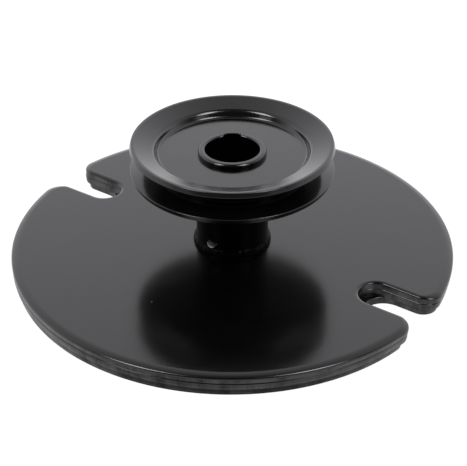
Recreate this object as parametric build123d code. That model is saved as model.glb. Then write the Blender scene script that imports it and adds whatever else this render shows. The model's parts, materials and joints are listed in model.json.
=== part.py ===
from build123d import *
from math import cos, hypot, radians, sin, tan
import os

# Crankshaft flywheel pulley: a V-belt sheave pressed from two steel halves and
# a laminated three-plate disc, both welded to one keyed hub.
# The origin is on the bore's axis, in the plane of the disc's underside.
# +Z points from the disc to the sheave, and the keyway is on the +Y side.

# Hub, turned from bar
BORE_RADIUS = 11.11
HUB_RADIUS = 15.0
SPIGOT_RADIUS = 14.0
HUB_HEIGHT = 52.8
SPIGOT_LIP_FILLET = 0.8
BORE_MOUTH_FILLET = 0.5
BORE_CHAMFER = 0.4
KEYWAY_WIDTH = 4.76
KEYWAY_DEPTH = 2.4
KEYWAY_CHAMFER = 0.7

# Laminated disc: the plates are listed from the bottom one up
PLATE_THICKNESS = 3.175
DISC_TOP = 3 * PLATE_THICKNESS
PLATE_HOLE_GAP = 0.05
TOP_PLATE_ROLL = 1.4
LOWER_PLATE_ROLL = 0.6
PLATE_BURR_CHAMFER = 0.3

# Two opposed notches run in from the rim of every plate; the bottom plate's are wider and shorter
NOTCH_DIRECTIONS = (-35.1, 144.9)
TOP_PLATE = dict(radius=92.7, half_width=7.4, end_distance=70.1, mouth_radius=7.0)
MIDDLE_PLATE = dict(radius=92.4, half_width=7.5, end_distance=70.3, mouth_radius=6.5)
BOTTOM_PLATE = dict(radius=91.2, half_width=9.0, end_distance=75.0, mouth_radius=6.0)

# The outlines of the lower plates sit slightly off the axis, along X
MIDDLE_PLATE_SHIFT = -0.2
BOTTOM_PLATE_SHIFT = -0.5
ON_RIM_TOLERANCE = 0.01

# Plug welds that hold the plates together, made from the underside
PLUG_WELD_RADIUS = 6.0
PLUG_WELD_CIRCLE = 58.0
PLUG_WELD_DIRECTIONS = (10.0, 100.0, 190.0, 280.0)
PLUG_WELD_SINK = 0.4

# Pressed sheave: both halves are sheet, back to back at the joint plane
SHEET = 2.5
JOINT_PLANE = 48.2
RIM_RADIUS = 40.9
RIM_TOP = 56.5
RIM_BOTTOM = 42.25
GROOVE_FLOOR_RADIUS = 33.4
FLANGE_ANGLE = 18.0
WALL_LEAN = 1.35
CREST_INSET = 1.8
DISH_FOOT_INSET = 3.0
SHEAVE_BEND_FILLET = 1.1
RIM_EDGE_FILLET = 1.0
RIM_BURR_FILLET = 0.3

# Fillet welds
BEAD_BULGE = 0.3
HUB_BEAD_LEG = 1.3
HUB_BEAD_HEIGHT = 3.2
BEAD_LUMP_RADIUS = 2.3
BEAD_LUMP_DIRECTION = -122.5
BEAD_LUMP_HEIGHT = 15.1
BEAD_LUMP_INSET = 0.6
BEAD_BRIDGE_RADIUS = 1.9
BEAD_BRIDGE_DROP = 0.6
SHEAVE_BEAD_LEG = 3.0
UNDERSIDE_BEAD_LEG = 3.0
UNDERSIDE_BEAD_SINK = 0.4


def polar(distance, direction, height=0.0):
    angle = radians(direction)
    return (distance * cos(angle), distance * sin(angle), height)


def turned(points):
    """A solid of revolution about Z from its half section, given as (radius, height)."""
    section = Plane.XZ * make_face(Polyline(*points, close=True))
    return revolve(section, Axis.Z)


def hub():
    shoulder = JOINT_PLANE - SHEET
    blank = Cylinder(HUB_RADIUS, shoulder, align=(Align.CENTER, Align.CENTER, Align.MIN))
    blank += Cylinder(SPIGOT_RADIUS, HUB_HEIGHT, align=(Align.CENTER, Align.CENTER, Align.MIN))
    lip = blank.faces().sort_by(Axis.Z)[-1].edges()
    blank = fillet(lip, SPIGOT_LIP_FILLET)
    blank -= Cylinder(BORE_RADIUS, HUB_HEIGHT, align=(Align.CENTER, Align.CENTER, Align.MIN))
    blank = fillet(bore_mouths(blank)[-1], BORE_MOUTH_FILLET)
    blank = chamfer(bore_mouths(blank)[0], BORE_CHAMFER)
    return blank - keyway_cutter()


def bore_mouths(blank):
    """The bore wall's two end circles, the lower one first."""
    wall = blank.faces().filter_by(GeomType.CYLINDER).sort_by(SortBy.RADIUS)[0]
    return wall.edges().filter_by(GeomType.CIRCLE).sort_by(Axis.Z)


def keyway_cutter():
    """The keyway's section with eased corners where it breaks into the bore."""
    half = KEYWAY_WIDTH / 2
    mouth = half + KEYWAY_CHAMFER
    top = BORE_RADIUS + KEYWAY_DEPTH
    wall_at_side = (BORE_RADIUS**2 - half**2) ** 0.5
    wall_at_mouth = (BORE_RADIUS**2 - mouth**2) ** 0.5
    right_side = [
        (half, top),
        (half, wall_at_side + KEYWAY_CHAMFER),
        (mouth, wall_at_mouth),
        (mouth, wall_at_mouth - KEYWAY_CHAMFER),
    ]
    left_side = [(-x, y) for x, y in reversed(right_side)]
    points = right_side + left_side
    return extrude(make_face(Polyline(*points, close=True)), HUB_HEIGHT)


def plate_outline(radius, half_width, end_distance, mouth_radius):
    """A round blank with two rounded-end notches and eased corners at their mouths."""
    blank = Rot(0, 0, NOTCH_DIRECTIONS[0]) * Circle(radius)
    for direction in NOTCH_DIRECTIONS:
        run = Pos(end_distance + radius / 2, 0) * Rectangle(radius, 2 * half_width)
        end = Pos(end_distance, 0) * Circle(half_width)
        blank -= Rot(0, 0, direction) * (run + end)
    corners = [v for v in blank.vertices() if hypot(v.X, v.Y) > radius - ON_RIM_TOLERANCE]
    return fillet(corners, mouth_radius)


def plate(level, shape, roll, shift=0.0):
    """One plate of the stack, with a rolled upper edge and a broken lower edge."""
    blank = Pos(shift, 0) * extrude(plate_outline(**shape), PLATE_THICKNESS)
    blank = fillet(blank.faces().sort_by(Axis.Z)[-1].edges(), roll)
    blank = chamfer(blank.faces().sort_by(Axis.Z)[0].edges(), PLATE_BURR_CHAMFER)
    hole = HUB_RADIUS + PLATE_HOLE_GAP
    blank -= Cylinder(hole, PLATE_THICKNESS, align=(Align.CENTER, Align.CENTER, Align.MIN))
    return Pos(0, 0, level * PLATE_THICKNESS) * blank


def plug_weld_places():
    return [Pos(*polar(PLUG_WELD_CIRCLE, direction)) for direction in PLUG_WELD_DIRECTIONS]


def plug_holes():
    """The holes for the plug welds, through the two lower plates only."""
    hole = Cylinder(PLUG_WELD_RADIUS, 2 * PLATE_THICKNESS, align=(Align.CENTER, Align.CENTER, Align.MIN))
    return [place * hole for place in plug_weld_places()]


def top_plate():
    return plate(2, TOP_PLATE, TOP_PLATE_ROLL)


def middle_plate():
    return plate(1, MIDDLE_PLATE, LOWER_PLATE_ROLL, MIDDLE_PLATE_SHIFT) - plug_holes()


def bottom_plate():
    """The lowest plate is countersunk for the weld that joins the stack to the hub."""
    inner = HUB_RADIUS + PLATE_HOLE_GAP
    countersink = turned([
        (0, 0),
        (HUB_RADIUS + UNDERSIDE_BEAD_LEG, 0),
        (inner, UNDERSIDE_BEAD_LEG),
        (0, UNDERSIDE_BEAD_LEG),
    ])
    blank = plate(0, BOTTOM_PLATE, LOWER_PLATE_ROLL, BOTTOM_PLATE_SHIFT)
    return blank - plug_holes() - countersink


def plate_plug_welds():
    """Weld metal in the plug holes, a little below flush on the underside."""
    height = 2 * PLATE_THICKNESS - PLUG_WELD_SINK
    weld = Cylinder(PLUG_WELD_RADIUS, height, align=(Align.CENTER, Align.CENTER, Align.MIN))
    weld = fillet(weld.faces().sort_by(Axis.Z)[0].edges(), 2 * PLUG_WELD_SINK)
    return [place * Pos(0, 0, PLUG_WELD_SINK) * weld for place in plug_weld_places()]


def flange_fall(radius):
    """How far a flange's rim-side surface lies from its rim corner's level at a smaller radius."""
    return (RIM_RADIUS - radius) * tan(radians(FLANGE_ANGLE))


def sheet_edge():
    """The sheared edge stays square to the flange: its run outwards and its height."""
    return SHEET * sin(radians(FLANGE_ANGLE)), SHEET * cos(radians(FLANGE_ANGLE))


def round_rim(sheave_half):
    """Rounds the rim's upper, rolled corner more than its lower, burred one."""
    rims = sheave_half.edges().filter_by(GeomType.CIRCLE).sort_by(SortBy.RADIUS)[-2:]
    sheave_half = fillet(rims.sort_by(Axis.Z)[-1], RIM_EDGE_FILLET)
    corner_level = rims.sort_by(Axis.Z)[0].center().Z
    circles = sheave_half.edges().filter_by(GeomType.CIRCLE)
    burr = circles.filter_by_position(Axis.Z, corner_level, corner_level).sort_by(SortBy.RADIUS)[-1]
    return fillet(burr, RIM_BURR_FILLET)


def upper_sheave_half():
    """A dish: flat web, steep wall that is the groove's floor, and upper flange."""
    web_top = JOINT_PLANE + SHEET
    edge_run, edge_height = sheet_edge()
    crest_radius = GROOVE_FLOOR_RADIUS - CREST_INSET
    sheet_height = SHEET / cos(radians(FLANGE_ANGLE))
    dish = turned([
        (SPIGOT_RADIUS, JOINT_PLANE),
        (GROOVE_FLOOR_RADIUS - WALL_LEAN, JOINT_PLANE),
        (GROOVE_FLOOR_RADIUS, RIM_TOP - flange_fall(GROOVE_FLOOR_RADIUS) - sheet_height),
        (RIM_RADIUS + edge_run, RIM_TOP - edge_height),
        (RIM_RADIUS, RIM_TOP),
        (crest_radius, RIM_TOP - flange_fall(crest_radius)),
        (GROOVE_FLOOR_RADIUS - DISH_FOOT_INSET, web_top),
        (SPIGOT_RADIUS, web_top),
    ])
    bends = dish.edges().filter_by(GeomType.CIRCLE).sort_by(SortBy.RADIUS)[2:-2]
    return round_rim(fillet(bends, SHEAVE_BEND_FILLET))


def lower_sheave_half():
    """A shallow cone: flat web against the upper half, and the lower flange."""
    web_bottom = JOINT_PLANE - SHEET
    edge_run, edge_height = sheet_edge()
    slope = tan(radians(FLANGE_ANGLE))
    cone_foot = RIM_RADIUS - (web_bottom - RIM_BOTTOM) / slope
    cone_start = RIM_RADIUS + edge_run - (JOINT_PLANE - RIM_BOTTOM - edge_height) / slope
    cone = turned([
        (SPIGOT_RADIUS, web_bottom),
        (cone_foot, web_bottom),
        (RIM_RADIUS, RIM_BOTTOM),
        (RIM_RADIUS + edge_run, RIM_BOTTOM + edge_height),
        (cone_start, JOINT_PLANE),
        (SPIGOT_RADIUS, JOINT_PLANE),
    ])
    return round_rim(cone)


def bead(corner_radius, corner_height, leg, height, bulge):
    """A convex ring of weld round the hub, above a face or, with height < 0, below it."""
    top = (corner_radius, corner_height + height)
    foot = (corner_radius + leg, corner_height)
    rise = bulge if height > 0 else -bulge
    middle = (corner_radius + leg / 2 + bulge, corner_height + height / 2 + rise)
    outline = Polyline(foot, (corner_radius, corner_height), top)
    outline += ThreePointArc(top, middle, foot)
    return revolve(Plane.XZ * make_face(outline), Axis.Z)


def hub_weld_bead():
    """Visible weld between the hub and the top plate, with a lump where it ended."""
    distance = HUB_RADIUS - BEAD_LUMP_INSET
    bridge_height = DISC_TOP + HUB_BEAD_HEIGHT - BEAD_BRIDGE_DROP
    lump = Pos(*polar(distance, BEAD_LUMP_DIRECTION, BEAD_LUMP_HEIGHT)) * Sphere(BEAD_LUMP_RADIUS)
    bridge = Pos(*polar(distance, BEAD_LUMP_DIRECTION, bridge_height)) * Sphere(BEAD_BRIDGE_RADIUS)
    ring = bead(HUB_RADIUS, DISC_TOP, HUB_BEAD_LEG, HUB_BEAD_HEIGHT, BEAD_BULGE)
    core = Cylinder(HUB_RADIUS, HUB_HEIGHT, align=(Align.CENTER, Align.CENTER, Align.MIN))
    return ring + (lump + bridge - core)


def sheave_weld_bead():
    """Weld under the lower sheave half's web, hidden by the flange."""
    web_bottom = JOINT_PLANE - SHEET
    return bead(HUB_RADIUS, web_bottom, SHEAVE_BEAD_LEG, -SHEAVE_BEAD_LEG, BEAD_BULGE)


def underside_weld_bead():
    """Weld that fills the bottom plate's countersink, a little below flush."""
    inner = HUB_RADIUS
    return turned([
        (inner, UNDERSIDE_BEAD_SINK),
        (inner + UNDERSIDE_BEAD_LEG - UNDERSIDE_BEAD_SINK, UNDERSIDE_BEAD_SINK),
        (inner + PLATE_HOLE_GAP, UNDERSIDE_BEAD_LEG - PLATE_HOLE_GAP),
        (inner, UNDERSIDE_BEAD_LEG - PLATE_HOLE_GAP),
    ])


def main():
    os.makedirs("parts", exist_ok=True)
    makers = [
        hub,
        top_plate,
        middle_plate,
        bottom_plate,
        plate_plug_welds,
        upper_sheave_half,
        lower_sheave_half,
        hub_weld_bead,
        underside_weld_bead,
        sheave_weld_bead,
    ]
    for maker in makers:
        shape = maker()
        solids = [solid for item in (shape if isinstance(shape, list) else [shape]) for solid in item.solids()]
        export_step(Compound(children=solids), f"parts/{maker.__name__}.step")


main()
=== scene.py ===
import json
import math

import bmesh
import bpy
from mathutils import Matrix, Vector, noise


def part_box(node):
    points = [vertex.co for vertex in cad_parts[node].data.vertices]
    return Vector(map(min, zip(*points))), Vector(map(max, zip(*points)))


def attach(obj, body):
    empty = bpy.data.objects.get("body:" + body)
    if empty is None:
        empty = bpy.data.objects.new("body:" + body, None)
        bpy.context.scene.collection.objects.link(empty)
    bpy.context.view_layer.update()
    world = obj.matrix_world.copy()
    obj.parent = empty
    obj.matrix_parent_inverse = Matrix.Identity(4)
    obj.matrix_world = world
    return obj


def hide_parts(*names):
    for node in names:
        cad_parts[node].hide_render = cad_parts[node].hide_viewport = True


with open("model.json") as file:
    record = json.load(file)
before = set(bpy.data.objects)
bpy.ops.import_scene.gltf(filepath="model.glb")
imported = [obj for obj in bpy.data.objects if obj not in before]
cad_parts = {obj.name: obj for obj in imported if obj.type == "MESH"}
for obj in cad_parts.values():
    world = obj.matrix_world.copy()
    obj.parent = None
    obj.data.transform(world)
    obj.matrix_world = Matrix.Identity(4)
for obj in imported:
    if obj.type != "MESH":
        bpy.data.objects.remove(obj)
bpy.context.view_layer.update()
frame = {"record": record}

# All shapes below are worked out in millimetres and turned into metres when a mesh is made.
MM = 0.001

# Fineness of the meshes
ARC_STEP = math.radians(7.0)
OUTLINE_STEP = 0.7
LATHE_STEPS = 288
ROLL_STEPS = 12
LIP_STEPS = 14
MOUTH_STEPS = 6
WELD_SECTIONS = 10


def box_mm(node):
    low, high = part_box(node)
    return low / MM, high / MM


def mount(name):
    return next(m for m in frame["record"]["mounts"] if m["name"] == name)


# Sizes taken from the frame
BORE_RADIUS = mount("bore")["dims"]["r_mm"]
HUB_RADIUS = box_mm("hub")[1].x
HUB_TOP = box_mm("hub")[1].z
DISC_TOP = box_mm("top_plate")[1].z
PLATE = DISC_TOP / 3
JOINT_PLANE = box_mm("upper_sheave_half")[0].z

# Stamped plates: the radii are 0.1 mm smaller than the CAD plates', the shifts are along X
TOP_RADIUS = 92.6
MIDDLE_RADIUS, MIDDLE_SHIFT = 92.3, -0.2
BOTTOM_RADIUS, BOTTOM_SHIFT = 91.1, -0.5
NOTCH_DIRECTION = math.radians(-35.1)
# Each notch: half its width, its end's centre from the axis, radius of the corners at its mouth
TOP_NOTCH = (7.4, 70.1, 7.0)
MIDDLE_NOTCH = (7.5, 70.3, 6.5)
BOTTOM_NOTCH = (9.0, 75.0, 6.0)
# Height on a plate's edge above which the die roll lies, and the slope where its bend ends
ROLL_START = 1.25
ROLL_SLOPE = math.radians(21.0)

# Hub and its keyway
SPIGOT_RADIUS = 14.0
KEYWAY_WIDTH = 4.76
KEYWAY_DEPTH = 2.4
KEYWAY_EASE = 1.4

# Sheave, pressed from two sheets
SHEET = 2.5
RIM_RADIUS = 40.9
RIM_TOP = 56.5
RIM_BOTTOM = 42.25
FLANGE_ANGLE = math.radians(18.0)
GROOVE_FLOOR_RADIUS = 33.4

# Welds
WELD_OVERLAP = 0.02
WELD_BULGE = 0.3
HUB_WELD_LEG = 1.35
HUB_WELD_HEIGHT = 3.2
HIDDEN_WELD_LEG = 3.0
PLUG_WELD_CIRCLE = 58.0
PLUG_WELD_RADIUS = 6.0
PLUG_WELD_DEPTH = 0.9
PLUG_WELD_GAP = 0.03
PLUG_WELD_DIRECTIONS = (10.0, 100.0, 190.0, 280.0)


# ---------------------------------------------------------------- outlines

def rounded(corners, closed=True):
    """Points of an outline given as (x, y, corner radius), with each corner an arc."""
    points = []
    count = len(corners)
    for i, (x, y, radius) in enumerate(corners):
        here = Vector((x, y))
        if radius == 0 or (not closed and i in (0, count - 1)):
            points.append(here)
            continue
        back = (Vector(corners[i - 1][:2]) - here).normalized()
        ahead = (Vector(corners[(i + 1) % count][:2]) - here).normalized()
        half = back.angle(ahead) / 2
        centre = here + (back + ahead).normalized() * radius / math.sin(half)
        first = here + back * radius / math.tan(half) - centre
        last = here + ahead * radius / math.tan(half) - centre
        turn = math.atan2(first.x * last.y - first.y * last.x, first.dot(last))
        steps = max(2, math.ceil(abs(turn) / ARC_STEP))
        for step in range(steps + 1):
            angle = turn * step / steps
            c, s = math.cos(angle), math.sin(angle)
            points.append(centre + Vector((first.x * c - first.y * s, first.x * s + first.y * c)))
    return points


def notched_outline(radius, half_width, end_distance, mouth_radius, shift=0.0):
    """Points and outward normals round a disc with two opposed, round-ended notches."""
    mouth_centre_y = half_width + mouth_radius
    mouth_centre_x = math.sqrt((radius - mouth_radius) ** 2 - mouth_centre_y**2)
    mouth_angle = math.atan2(mouth_centre_y, mouth_centre_x)
    rows = []

    def arc(cx, cy, r, start, stop, sign):
        steps = max(6, round(abs(stop - start) * r / OUTLINE_STEP))
        for step in range(steps):
            a = start + (stop - start) * step / steps
            c, s = math.cos(a), math.sin(a)
            rows.append((cx + r * c, cy + r * s, sign * c, sign * s))

    def run(x0, x1, y, ny):
        steps = round(abs(x1 - x0) / OUTLINE_STEP)
        for step in range(steps):
            rows.append((x0 + (x1 - x0) * step / steps, y, 0.0, ny))

    # The half of the outline from the middle of one notch to the middle of the next
    arc(end_distance, 0.0, half_width, math.pi, math.pi / 2, -1)
    run(end_distance, mouth_centre_x, half_width, -1)
    arc(mouth_centre_x, mouth_centre_y, mouth_radius, -math.pi / 2, mouth_angle, 1)
    arc(0.0, 0.0, radius, mouth_angle, math.pi - mouth_angle, 1)
    arc(-mouth_centre_x, mouth_centre_y, mouth_radius, math.pi - mouth_angle, 1.5 * math.pi, 1)
    run(-mouth_centre_x, -end_distance, half_width, -1)
    arc(-end_distance, 0.0, half_width, math.pi / 2, 0.0, -1)
    rows += [(-x, -y, -nx, -ny) for x, y, nx, ny in rows]

    c, s = math.cos(NOTCH_DIRECTION), math.sin(NOTCH_DIRECTION)
    return [(Vector((x * c - y * s + shift, x * s + y * c)), Vector((nx * c - ny * s, nx * s + ny * c)))
            for x, y, nx, ny in rows]


# ---------------------------------------------------------------- meshes

def new_object(name, bm, materials, node, crease=35.0):
    """Makes the object from millimetre geometry and hangs it in place of its CAD node."""
    bmesh.ops.recalc_face_normals(bm, faces=bm.faces)
    bmesh.ops.scale(bm, vec=(MM, MM, MM), verts=bm.verts)
    mesh = bpy.data.meshes.new(name)
    bm.to_mesh(mesh)
    bm.free()
    mesh.shade_smooth()
    mesh.set_sharp_from_angle(angle=math.radians(crease))
    for material in materials:
        mesh.materials.append(material)
    piece = bpy.data.objects.new(name, mesh)
    bpy.context.scene.collection.objects.link(piece)
    weighted = piece.modifiers.new("even_normals", "WEIGHTED_NORMAL")
    weighted.keep_sharp = True
    weighted.weight = 80
    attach(piece, "root")
    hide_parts(node)


def ring_between(bm, first, second, material=0):
    count = len(first)
    for i in range(count):
        j = (i + 1) % count
        face = bm.faces.new((first[i], first[j], second[j], second[i]))
        face.material_index = material


def lathe_angles():
    return [2 * math.pi * step / LATHE_STEPS for step in range(LATHE_STEPS)]


def lathe(bm, profile, wobble=None):
    """Turns a closed (radius, height) outline into a ring-shaped solid about Z."""
    rings = []
    for radius, height in profile:
        ring = []
        for angle in lathe_angles():
            r, z = (radius, height) if wobble is None else wobble(radius, height, angle)
            ring.append(bm.verts.new((r * math.cos(angle), r * math.sin(angle), z)))
        rings.append(ring)
    for i, ring in enumerate(rings):
        ring_between(bm, rings[i - 1], ring)


def circle(bm, centre, radius, height, steps=64):
    ring = []
    for step in range(steps):
        angle = 2 * math.pi * step / steps
        place = (centre.x + radius * math.cos(angle), centre.y + radius * math.sin(angle), height)
        ring.append(bm.verts.new(place))
    return ring


def loop_edges(bm, ring):
    edges = []
    for i, vert in enumerate(ring):
        mate = ring[(i + 1) % len(ring)]
        edges.append(bm.edges.get((vert, mate)) or bm.edges.new((vert, mate)))
    return edges


def cap(bm, rings):
    """Fills the flat face between an outer ring and the holes in it."""
    edges = [edge for ring in rings for edge in loop_edges(bm, ring)]
    bmesh.ops.triangle_fill(bm, use_beauty=True, use_dissolve=False, edges=edges)


def plate_mesh(outline, base, edge_profile, holes, roughness, seed, notch_roll):
    """A plate: edge_profile lists (inset, height above base, roughness share) upwards.

    Along the notches, insets are multiplied by notch_roll, and the die roll is less deep.
    """
    bm = bmesh.new()
    top_level = edge_profile[-1][1]
    rim = max(point.length for point, normal in outline)
    rings = []
    for inset, height, share in edge_profile:
        ring = []
        for point, normal in outline:
            on_rim = max(0.0, point.normalized().dot(normal)) if point.length > 0.9 * rim else 0.0
            width = notch_roll + (1 - notch_roll) * on_rim * on_rim * (3 - 2 * on_rim)
            depth = math.sqrt(width) if height > ROLL_START else 1.0
            here = point - normal * inset * width
            z = base + top_level - (top_level - height) * depth
            if share:
                grain = noise.noise(Vector((point.x * 0.9, point.y * 0.9, height * 0.35 + seed)))
                ripple = noise.noise(Vector((point.x * 0.12, point.y * 0.12, seed)))
                here -= normal * share * roughness * (0.6 * grain + 0.6 * ripple + 0.5)
            ring.append(bm.verts.new((here.x, here.y, z)))
        rings.append(ring)
    rough_top = max(i for i, row in enumerate(edge_profile) if row[2] or i == 0)
    for i in range(1, len(rings)):
        ring_between(bm, rings[i - 1], rings[i], 1 if i <= rough_top + 1 else 0)
    bottom, top = edge_profile[0][1] + base, edge_profile[-1][1] + base
    lower_rings, upper_rings = [rings[0]], [rings[-1]]
    for centre, radius, depth in holes:
        low = circle(bm, centre, radius, bottom, 160 if radius > 10 else 64)
        high = circle(bm, centre, radius, top if depth is None else bottom + depth, len(low))
        ring_between(bm, low, high)
        lower_rings.append(low)
        if depth is None:
            upper_rings.append(high)
        else:
            bm.faces.new(high)
    cap(bm, lower_rings)
    cap(bm, upper_rings)
    return bm


def roll_profile(top, bend, slope, run):
    """The die roll of a stamped edge, upwards: a round bend, then a run that flattens out.

    The bend ends where the surface slopes at the given angle, and the run starts there.
    """
    start = math.tan(slope)
    drop = bend * math.cos(slope) + start * run / 2
    bend_inset = bend * (1 - math.sin(slope))
    rows = []
    for step in range(ROLL_STEPS + 1):
        tilt = math.pi / 2 + (slope - math.pi / 2) * step / ROLL_STEPS
        rows.append((bend * (1 - math.sin(tilt)), top - drop + bend * math.cos(tilt), 0.0))
    for step in range(1, ROLL_STEPS + 1):
        along = run * step / ROLL_STEPS
        rise = start * (along - along**2 / (2 * run))
        rows.append((bend_inset + along, top - drop + bend * math.cos(slope) + rise, 0.0))
    return rows


# ---------------------------------------------------------------- materials

def paint(name, roughness, peel, grain=0.0, brown=0.0, sheen=0.5, front_shade_share=1.0):
    """Black enamel: orange peel, dust nibs and slight changes of gloss.

    With grain it is the paint on torn metal, and the front share dims its sheen at the front, as painted
    shade.
    """
    material = bpy.data.materials.new(name)
    material.use_nodes = True
    nodes, links = material.node_tree.nodes, material.node_tree.links
    shader = nodes["Principled BSDF"]
    shader.inputs["IOR"].default_value = 1.53
    shader.inputs["Specular IOR Level"].default_value = sheen
    place = nodes.new("ShaderNodeTexCoord")

    def noise_node(scale, detail, rough=0.5):
        node = nodes.new("ShaderNodeTexNoise")
        node.inputs["Scale"].default_value = scale
        node.inputs["Detail"].default_value = detail
        node.inputs["Roughness"].default_value = rough
        links.new(place.outputs["Object"], node.inputs["Vector"])
        return node

    # Colour: near black, with slightly warmer, dustier patches
    tone = noise_node(38.0, 5.0, 0.6)
    ramp = nodes.new("ShaderNodeValToRGB")
    ramp.color_ramp.elements[0].position = 0.35
    ramp.color_ramp.elements[0].color = (0.0006, 0.0006, 0.0007, 1)
    ramp.color_ramp.elements[1].position = 0.75
    ramp.color_ramp.elements[1].color = (0.0015 + brown, 0.0013 + brown * 0.75, 0.0014 + brown * 0.6, 1)
    links.new(tone.outputs["Fac"], ramp.inputs["Fac"])
    links.new(ramp.outputs["Color"], shader.inputs["Base Color"])

    # Gloss: a little cloudy
    cloud = noise_node(55.0, 4.0, 0.55)
    gloss = nodes.new("ShaderNodeMapRange")
    gloss.inputs["From Min"].default_value = 0.3
    gloss.inputs["From Max"].default_value = 0.7
    gloss.inputs["To Min"].default_value = roughness * 0.88
    gloss.inputs["To Max"].default_value = roughness * 1.12
    links.new(cloud.outputs["Fac"], gloss.inputs["Value"])
    links.new(gloss.outputs["Result"], shader.inputs["Roughness"])

    # Relief: orange peel, then dust nibs under the paint
    peel_noise = noise_node(620.0, 2.0, 0.4)
    peel_bump = nodes.new("ShaderNodeBump")
    peel_bump.inputs["Strength"].default_value = peel
    peel_bump.inputs["Distance"].default_value = 0.00012
    links.new(peel_noise.outputs["Fac"], peel_bump.inputs["Height"])

    nibs = nodes.new("ShaderNodeTexVoronoi")
    nibs.inputs["Scale"].default_value = 85.0
    links.new(place.outputs["Object"], nibs.inputs["Vector"])
    nib_shape = nodes.new("ShaderNodeMapRange")
    nib_shape.interpolation_type = "SMOOTHSTEP"
    nib_shape.inputs["From Min"].default_value = 0.0
    nib_shape.inputs["From Max"].default_value = 0.05
    nib_shape.inputs["To Min"].default_value = 1.0
    nib_shape.inputs["To Max"].default_value = 0.0
    links.new(nibs.outputs["Distance"], nib_shape.inputs["Value"])
    nib_bump = nodes.new("ShaderNodeBump")
    nib_bump.inputs["Strength"].default_value = 0.25
    nib_bump.inputs["Distance"].default_value = 0.00025
    links.new(nib_shape.outputs["Result"], nib_bump.inputs["Height"])
    links.new(peel_bump.outputs["Normal"], nib_bump.inputs["Normal"])
    last = nib_bump

    if grain:
        # Torn metal of a sheared edge, drawn out along the thickness
        stretch = nodes.new("ShaderNodeMapping")
        stretch.inputs["Scale"].default_value = (1.0, 1.0, 0.35)
        links.new(place.outputs["Object"], stretch.inputs["Vector"])
        torn = noise_node(900.0, 5.0, 0.65)
        links.new(stretch.outputs["Vector"], torn.inputs["Vector"])
        torn_bump = nodes.new("ShaderNodeBump")
        torn_bump.inputs["Strength"].default_value = grain
        torn_bump.inputs["Distance"].default_value = 0.0003
        links.new(torn.outputs["Fac"], torn_bump.inputs["Height"])
        links.new(nib_bump.outputs["Normal"], torn_bump.inputs["Normal"])
        last = torn_bump

        # The paint is thin and dull in places
        patches = noise_node(150.0, 4.0, 0.6)
        links.new(stretch.outputs["Vector"], patches.inputs["Vector"])
        dullness = nodes.new("ShaderNodeMapRange")
        dullness.inputs["From Min"].default_value = 0.35
        dullness.inputs["From Max"].default_value = 0.62
        dullness.inputs["To Min"].default_value = sheen * 0.3
        dullness.inputs["To Max"].default_value = sheen * 1.25
        links.new(patches.outputs["Fac"], dullness.inputs["Value"])

        # Towards the front of the disc the edge's sheen is cut further: painted shade, standing in for the
        # shadowed floor in front that these edges reflect
        split = nodes.new("ShaderNodeSeparateXYZ")
        links.new(place.outputs["Object"], split.inputs["Vector"])
        by_depth = nodes.new("ShaderNodeMapRange")
        by_depth.interpolation_type = "SMOOTHSTEP"
        by_depth.inputs["From Min"].default_value = -0.094
        by_depth.inputs["From Max"].default_value = -0.06
        by_depth.inputs["To Min"].default_value = front_shade_share
        by_depth.inputs["To Max"].default_value = 1.0
        links.new(split.outputs["Y"], by_depth.inputs["Value"])
        final = nodes.new("ShaderNodeMath")
        final.operation = "MULTIPLY"
        links.new(dullness.outputs["Result"], final.inputs[0])
        links.new(by_depth.outputs["Result"], final.inputs[1])
        links.new(final.outputs["Value"], shader.inputs["Specular IOR Level"])
    links.new(last.outputs["Normal"], shader.inputs["Normal"])
    return material


def floor_material():
    material = bpy.data.materials.new("pale_floor")
    material.use_nodes = True
    shader = material.node_tree.nodes["Principled BSDF"]
    shader.inputs["Base Color"].default_value = (0.12, 0.12, 0.12, 1)
    shader.inputs["Roughness"].default_value = 0.9
    shader.inputs["Specular IOR Level"].default_value = 0.0
    shader.inputs["Emission Color"].default_value = (1, 1, 1, 1)
    shader.inputs["Emission Strength"].default_value = 0.93
    return material


# ---------------------------------------------------------------- the pieces

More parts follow.
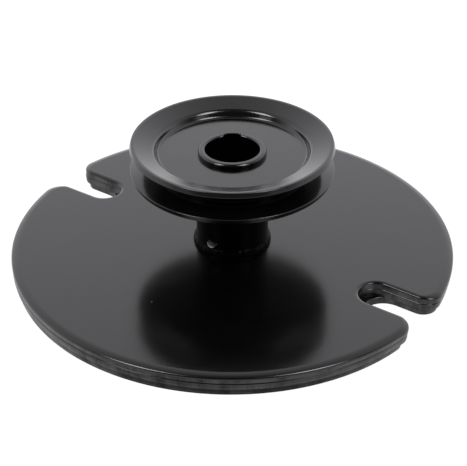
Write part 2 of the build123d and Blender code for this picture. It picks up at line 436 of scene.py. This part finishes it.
def make_plates(face_paint, edge_paint, shaded_low_edge_paint):
    hub_hole = (Vector((0, 0)), HUB_RADIUS + 0.03)
    plugs = [(PLUG_WELD_CIRCLE * Vector((math.cos(math.radians(d)), math.sin(math.radians(d)))),
              PLUG_WELD_RADIUS) for d in PLUG_WELD_DIRECTIONS]

    def sheared(taper):
        """The lower part of a stamped edge, upwards: burr side inset by the taper, then torn metal."""
        return [
            (taper + 0.14, 0.0, 0.0),
            (taper + 0.03, 0.07, 0.4),
            (taper, 0.25, 0.8),
            (taper * 0.8, 0.5, 1.0),
            (taper * 0.5, 0.75, 1.0),
            (taper * 0.2, 1.0, 0.7),
            (0.0, ROLL_START - 0.03, 0.25),
        ]

    top = notched_outline(TOP_RADIUS, *TOP_NOTCH)
    profile = sheared(0.1) + roll_profile(PLATE, 0.9, ROLL_SLOPE, 2.8)
    bm = plate_mesh(top, 2 * PLATE, profile, [(*hub_hole, None)], 0.08, 3.0, 0.45)
    new_object("top_plate_stamped", bm, [face_paint, edge_paint], "top_plate")

    middle = notched_outline(MIDDLE_RADIUS, *MIDDLE_NOTCH, MIDDLE_SHIFT)
    profile = sheared(0.15) + roll_profile(PLATE, 0.5, ROLL_SLOPE, 1.4)
    bm = plate_mesh(middle, PLATE, profile, [(*hub_hole, None)], 0.12, 11.0, 0.12)
    new_object("middle_plate_stamped", bm, [face_paint, edge_paint], "middle_plate")

    bottom = notched_outline(BOTTOM_RADIUS, *BOTTOM_NOTCH, BOTTOM_SHIFT)
    weld_hole = (Vector((0, 0)), HUB_RADIUS + HIDDEN_WELD_LEG, None)
    holes = [weld_hole] + [(centre, radius, PLUG_WELD_DEPTH) for centre, radius in plugs]
    bm = plate_mesh(bottom, 0.0, profile, holes, 0.14, 19.0, 0.12)
    # The bottom plate's edge takes the shaded copy of the edge paint: painted shade
    new_object("bottom_plate_stamped", bm, [face_paint, shaded_low_edge_paint], "bottom_plate")


def make_upper_sheave(face_paint):
    slope = math.tan(FLANGE_ANGLE)
    edge_run, edge_height = SHEET * math.sin(FLANGE_ANGLE), SHEET * math.cos(FLANGE_ANGLE)
    floor_top = RIM_TOP - (RIM_RADIUS - GROOVE_FLOOR_RADIUS) * slope - SHEET / math.cos(FLANGE_ANGLE)
    crest_radius = GROOVE_FLOOR_RADIUS - 1.8
    # The rim's upper corner is flattened into a narrow land
    land = 1.1
    land_level = RIM_TOP - land * slope
    corners = [
        (SPIGOT_RADIUS, JOINT_PLANE, 0),
        (GROOVE_FLOOR_RADIUS - 1.35, JOINT_PLANE, 1.6),
        (GROOVE_FLOOR_RADIUS, floor_top, 0.9),
        (RIM_RADIUS + edge_run, RIM_TOP - edge_height, 0.3),
        (RIM_RADIUS + land * slope * slope, land_level, 0.38),
        (RIM_RADIUS - land, land_level, 2.0),
        (crest_radius, RIM_TOP - (RIM_RADIUS - crest_radius) * slope, 2.5),
        (GROOVE_FLOOR_RADIUS - 3.0, JOINT_PLANE + SHEET, 1.6),
        (SPIGOT_RADIUS, JOINT_PLANE + SHEET, 0),
    ]
    bm = bmesh.new()
    lathe(bm, rounded(corners))
    new_object("upper_sheave_pressed", bm, [face_paint], "upper_sheave_half")


def make_lower_sheave(face_paint):
    slope = math.tan(FLANGE_ANGLE)
    edge_run, edge_height = SHEET * math.sin(FLANGE_ANGLE), SHEET * math.cos(FLANGE_ANGLE)
    web_bottom = JOINT_PLANE - SHEET
    corners = [
        (SPIGOT_RADIUS, web_bottom, 0),
        (RIM_RADIUS - (web_bottom - RIM_BOTTOM) / slope, web_bottom, 4.0),
        (RIM_RADIUS, RIM_BOTTOM, 0.3),
        (RIM_RADIUS + edge_run, RIM_BOTTOM + edge_height, 0.25),
        (RIM_RADIUS + edge_run - (JOINT_PLANE - RIM_BOTTOM - edge_height) / slope, JOINT_PLANE, 5.0),
        (SPIGOT_RADIUS, JOINT_PLANE, 0),
    ]
    bm = bmesh.new()
    lathe(bm, rounded(corners))
    new_object("lower_sheave_pressed", bm, [face_paint], "lower_sheave_half")


def bore_outline():
    """Distance from the axis to the bore wall, keyway included, for each direction."""
    reach = KEYWAY_WIDTH / 2 + KEYWAY_EASE
    outline = []
    for angle in lathe_angles():
        across = abs(math.atan2(math.cos(angle), math.sin(angle))) * BORE_RADIUS
        depth = KEYWAY_DEPTH * min(1.0, max(0.0, (reach - across) / KEYWAY_EASE))
        depth = depth * depth * (3 - 2 * depth / KEYWAY_DEPTH) / KEYWAY_DEPTH
        outline.append(BORE_RADIUS + depth)
    return outline


def make_hub(face_paint, wall_paint):
    """Shoulder, spigot with a rounded lip, and a bore with its keyway."""
    shoulder = JOINT_PLANE - SHEET
    lip_round, lip_land = 1.1, 0.15
    mouth_width, mouth_drop = 0.8, 0.7
    bottom_chamfer = 0.4
    walls = bore_outline()
    mouths = [min(wall + mouth_width, SPIGOT_RADIUS - lip_land) for wall in walls]
    lip_centre = SPIGOT_RADIUS - lip_round

    def lip_height(r):
        """Height of the lip's outer rounding at radius r."""
        over = max(0.0, r - lip_centre)
        return HUB_TOP - lip_round + math.sqrt(max(0.0, lip_round**2 - over**2))

    outside = rounded([
        (HUB_RADIUS, 0.0, 0), (HUB_RADIUS, shoulder, 0.3), (SPIGOT_RADIUS, shoulder, 0),
        (SPIGOT_RADIUS, HUB_TOP - lip_round, 0)], closed=False)
    bm = bmesh.new()
    rings = []
    for r, z in outside:
        rings.append([bm.verts.new((r * math.cos(a), r * math.sin(a), z)) for a in lathe_angles()])
    for step in range(1, LIP_STEPS + 1):
        ring = []
        turn = math.pi / 2 * step / LIP_STEPS
        for inner, a in zip(mouths, lathe_angles()):
            r = SPIGOT_RADIUS - (SPIGOT_RADIUS - inner) * (1 - math.cos(turn)) ** 0.9
            ring.append(bm.verts.new((r * math.cos(a), r * math.sin(a), lip_height(r))))
        rings.append(ring)
    for step in range(1, MOUTH_STEPS + 1):
        ring = []
        share = step / MOUTH_STEPS
        for wall, inner, a in zip(walls, mouths, lathe_angles()):
            r = inner - (inner - wall) * share
            z = lip_height(inner) - mouth_drop * (1 - math.sqrt(max(0.0, 1 - share**2)))
            ring.append(bm.verts.new((r * math.cos(a), r * math.sin(a), z)))
        rings.append(ring)
    for r_extra, z in ((0.0, bottom_chamfer), (bottom_chamfer, 0.0)):
        rings.append([bm.verts.new(((w + r_extra) * math.cos(a), (w + r_extra) * math.sin(a), z))
                      for w, a in zip(walls, lathe_angles())])
    for i, ring in enumerate(rings):
        wall = rings[i - 1][0].co.z <= shoulder and ring[0].co.z <= shoulder
        ring_between(bm, rings[i - 1], ring, 1 if wall else 0)
    new_object("hub_turned", bm, [face_paint, wall_paint], "hub")


def weld_profile(corner_height, leg, height):
    """Closed outline of a convex fillet round the hub, above or below corner_height."""
    rise = WELD_BULGE if height > 0 else -WELD_BULGE
    points = [Vector((HUB_RADIUS - WELD_OVERLAP, corner_height)), Vector((HUB_RADIUS + leg, corner_height))]
    for step in range(1, WELD_SECTIONS):
        share = step / WELD_SECTIONS
        crown = 4 * share * (1 - share)
        points.append(Vector((HUB_RADIUS + leg * (1 - share) + WELD_BULGE * crown,
                              corner_height + height * share + rise * crown)))
    points.append(Vector((HUB_RADIUS - WELD_OVERLAP, corner_height + height)))
    return points


def make_hub_weld(weld_paint, bright_paint):
    """Painted fillet weld on the disc, with the lump where the bead was ended."""
    lump_angle = math.radians(-122.5)
    lump_height = 15.1
    lump_radius = 2.45
    # The lump's outer side was flattened; the flat looks up and out
    flat_side = Vector((-0.278, -0.627, 0.728)).normalized()
    flat_distance = 0.28

    def wobble(radius, height, angle):
        if radius < HUB_RADIUS:
            out = 0.0
        else:
            ripple = math.sin(angle * 34 + 1.2 * math.sin(angle * 5))
            drift = noise.noise(Vector((math.cos(angle) * 2.2, math.sin(angle) * 2.2, 4.0)))
            out = 0.05 * ripple + 0.3 * drift
        up = 0.45 * noise.noise(Vector((math.cos(angle) * 3.1, math.sin(angle) * 3.1, 9.0)))
        above = height - DISC_TOP
        r = radius + out * min(1.0, above / 0.8)
        z = height + (up * above / HUB_WELD_HEIGHT if above > 0 else 0)
        return r, z

    bm = bmesh.new()
    lathe(bm, weld_profile(DISC_TOP, HUB_WELD_LEG, HUB_WELD_HEIGHT), wobble)
    lump = bmesh.ops.create_icosphere(bm, subdivisions=5, radius=1.0)["verts"]
    middle = Vector((math.cos(lump_angle), math.sin(lump_angle), 0)) * (HUB_RADIUS - 0.4)
    middle.z = lump_height
    for vert in lump:
        p = vert.co.copy()
        bumpy = 1 + 0.14 * noise.noise(p * 1.7 + Vector((3, 1, 7)))
        shaped = p * bumpy
        beyond = shaped.dot(flat_side) - flat_distance
        if beyond > 0:
            shaped -= flat_side * beyond * 0.985
        vert.co = middle + shaped * lump_radius
    lump_set = set(lump)
    for face in bm.faces:
        if face.verts[0] in lump_set:
            face.normal_update()
            face.material_index = 1 if abs(face.normal.dot(flat_side)) > 0.97 else 0
    new_object("hub_weld_bead_painted", bm, [weld_paint, bright_paint], "hub_weld_bead",
               25)


def make_hidden_welds(weld_paint):
    def ripples(radius, height, angle):
        if radius < HUB_RADIUS:
            return radius, height
        return radius + 0.12 * math.sin(angle * 30 + 2 * math.sin(angle * 3)), height

    bm = bmesh.new()
    lathe(bm, weld_profile(JOINT_PLANE - SHEET, HIDDEN_WELD_LEG, -HIDDEN_WELD_LEG), ripples)
    new_object("sheave_weld_bead_painted", bm, [weld_paint], "sheave_weld_bead", 60)

    def sunk(radius, height, angle):
        wave = 0.1 * math.sin(angle * 26 + 2 * math.sin(angle * 4))
        return radius, max(0.02, height + wave * (HUB_RADIUS + 0.2 < radius < HUB_RADIUS + 2.8))

    roof, face_height, face_rise = 3.0, 0.35, 0.25
    inside, outside = HUB_RADIUS - WELD_OVERLAP, HUB_RADIUS + HIDDEN_WELD_LEG
    profile = [(inside, roof), (inside, face_height)]
    for step in range(1, 9):
        share = step / 9
        height = face_height + face_rise * math.sin(math.pi * share)
        profile.append((HUB_RADIUS + HIDDEN_WELD_LEG * share, height))
    profile += [(outside, 0.3), (outside, roof)]
    bm = bmesh.new()
    lathe(bm, profile, sunk)
    new_object("underside_weld_bead_painted", bm, [weld_paint], "underside_weld_bead",
               60)

    bm = bmesh.new()
    for direction in PLUG_WELD_DIRECTIONS:
        angle = math.radians(direction)
        centre = PLUG_WELD_CIRCLE * Vector((math.cos(angle), math.sin(angle)))
        rings = []
        for share in (1.0, 0.92, 0.8, 0.65, 0.5, 0.35, 0.2, 0.08):
            ring = circle(bm, centre, (PLUG_WELD_RADIUS - PLUG_WELD_GAP) * share, 0.0)
            for i, vert in enumerate(ring):
                swirl = math.sin(14 * share + i * 2 * math.pi / len(ring))
                edge_sink = 0.45 * max(0.0, (share - 0.8) / 0.2)
                vert.co.z = 0.2 + edge_sink + 0.07 * swirl + 0.1 * noise.noise(vert.co * 0.5)
            rings.append(ring)
        lid = circle(bm, centre, PLUG_WELD_RADIUS - PLUG_WELD_GAP, 0.88)
        ring_between(bm, lid, rings[0])
        for first, second in zip(rings, rings[1:]):
            ring_between(bm, first, second)
        bm.faces.new(rings[-1])
        bm.faces.new(lid)
    new_object("plate_plug_welds_painted", bm, [weld_paint], "plate_plug_welds", 60)


# ---------------------------------------------------------------- the studio

# Brightness of the backdrop at each sine of the elevation, as a share of the brightest
BACKDROP = (
    (0.0, 1.0), (0.1, 0.97), (0.3, 0.86), (0.5, 0.78),
    (0.62, 0.72), (0.8, 0.55), (0.93, 0.36), (0.985, 0.06),
)
BACKDROP_BRIGHTNESS = 1.85
LAMP_DISTANCE = 1.5
LAMP_WIDTH = 0.45


def make_camera():
    data = bpy.data.cameras.new("camera")
    data.lens = 98.73
    data.sensor_width = 36.0
    data.clip_start = 0.02
    data.clip_end = 20.0
    camera = bpy.data.objects.new("camera", data)
    camera.location = (-0.0001, -0.4533, 0.30628)
    camera.rotation_euler = (math.radians(57.0), 0.0, math.radians(-0.0745))
    bpy.context.scene.collection.objects.link(camera)
    bpy.context.scene.camera = camera


def make_floor():
    mesh = bpy.data.meshes.new("floor")
    half = 4.0
    mesh.from_pydata([(-half, -half, 0), (half, -half, 0), (half, half, 0), (-half, half, 0)],
                     [], [(0, 1, 2, 3)])
    mesh.materials.append(floor_material())
    floor = bpy.data.objects.new("floor", mesh)
    # Just below the disc's underside, so that the two faces don't coincide
    floor.location.z = -0.0002
    bpy.context.scene.collection.objects.link(floor)


def make_softbox(name, azimuth, elevation, height, power):
    """A rectangular lamp that faces the object; azimuth 0 is behind the camera."""
    a, e = math.radians(azimuth), math.radians(elevation)
    data = bpy.data.lights.new(name, "AREA")
    data.shape = "RECTANGLE"
    data.size = LAMP_WIDTH
    data.size_y = height
    data.energy = power
    lamp = bpy.data.objects.new(name, data)
    away = Vector((math.sin(a) * math.cos(e), -math.cos(a) * math.cos(e), math.sin(e)))
    lamp.location = away * LAMP_DISTANCE
    lamp.rotation_mode = "QUATERNION"
    lamp.rotation_quaternion = away.to_track_quat("Z", "Y")
    bpy.context.scene.collection.objects.link(lamp)


def make_world():
    """White studio: bright low backdrop, dark above and towards the camera's side."""
    world = bpy.data.worlds.new("studio")
    bpy.context.scene.world = world
    world.use_nodes = True
    nodes, links = world.node_tree.nodes, world.node_tree.links
    background = nodes["Background"]
    background.inputs["Color"].default_value = (0.995, 0.99, 1.03, 1)
    place = nodes.new("ShaderNodeTexCoord")
    split = nodes.new("ShaderNodeSeparateXYZ")
    links.new(place.outputs["Generated"], split.inputs["Vector"])

    # Brightness by the sine of the elevation, in units of the brightest value
    by_height = nodes.new("ShaderNodeValToRGB")
    ramp = by_height.color_ramp
    while len(ramp.elements) < len(BACKDROP):
        ramp.elements.new(0.5)
    for element, (position, value) in zip(ramp.elements, BACKDROP):
        element.position = position
        element.color = (value, value, value, 1)
    links.new(split.outputs["Z"], by_height.inputs["Fac"])

    # Towards the camera's side (-Y) the studio is darker
    by_depth = nodes.new("ShaderNodeMapRange")
    by_depth.interpolation_type = "SMOOTHSTEP"
    by_depth.inputs["From Min"].default_value = -0.55
    by_depth.inputs["From Max"].default_value = 0.25
    by_depth.inputs["To Min"].default_value = 0.05
    by_depth.inputs["To Max"].default_value = 1.0
    links.new(split.outputs["Y"], by_depth.inputs["Value"])

    product = nodes.new("ShaderNodeMath")
    product.operation = "MULTIPLY"
    links.new(by_height.outputs["Color"], product.inputs[0])
    links.new(by_depth.outputs["Result"], product.inputs[1])
    scaled = nodes.new("ShaderNodeMath")
    scaled.operation = "MULTIPLY"
    scaled.inputs[1].default_value = BACKDROP_BRIGHTNESS
    links.new(product.outputs["Value"], scaled.inputs[0])

    # What the camera sees directly is plain white
    path = nodes.new("ShaderNodeLightPath")
    choice = nodes.new("ShaderNodeMix")
    choice.data_type = "FLOAT"
    choice.inputs["B"].default_value = 1.02
    links.new(path.outputs["Is Camera Ray"], choice.inputs["Factor"])
    links.new(scaled.outputs["Value"], choice.inputs["A"])
    links.new(choice.outputs["Result"], background.inputs["Strength"])


def make_studio():
    make_camera()
    make_floor()
    make_world()
    for side, azimuth in (("left", -57.0), ("right", 47.0)):
        make_softbox(f"softbox_{side}", azimuth, 52.0, 0.75, 11.5)
    for side, azimuth in (("left", -50.0), ("right", 47.0)):
        make_softbox(f"low_fill_{side}", azimuth, 14.0, 0.42, 0.85)
    scene = bpy.context.scene
    scene.view_settings.view_transform = "Standard"
    scene.view_settings.look = "None"


make_studio()
sheet_paint = paint("black_paint_faces", 0.17, 0.05)
# The cut edges' sheen is dimmed towards the front of the disc: painted shade
cut_edge_paint = paint("black_paint_cut_edges", 0.34, 0.12, grain=0.5, brown=0.004, sheen=0.55,
                       front_shade_share=0.75)
# The bottom plate's edge paint is a shaded copy of the cut-edge paint: browner, and with more painted shade
# at the front
shaded_low_edge_paint = paint("black_paint_low_edge", 0.36, 0.12, grain=0.6, brown=0.007, sheen=0.5,
                       front_shade_share=0.3)
# The hub's wall and the welds get less sheen than real enamel has, so that they come out nearly black:
# painted shade, in place of the reflections they would show
hub_wall_paint = paint("black_paint_hub_wall", 0.3, 0.05, sheen=0.06)
weld_bead_paint = paint("black_paint_welds", 0.25, 0.08, sheen=0.025)
make_plates(sheet_paint, cut_edge_paint, shaded_low_edge_paint)
make_upper_sheave(sheet_paint)
make_lower_sheave(sheet_paint)
make_hub(sheet_paint, hub_wall_paint)
make_hub_weld(weld_bead_paint, sheet_paint)
make_hidden_welds(weld_bead_paint)
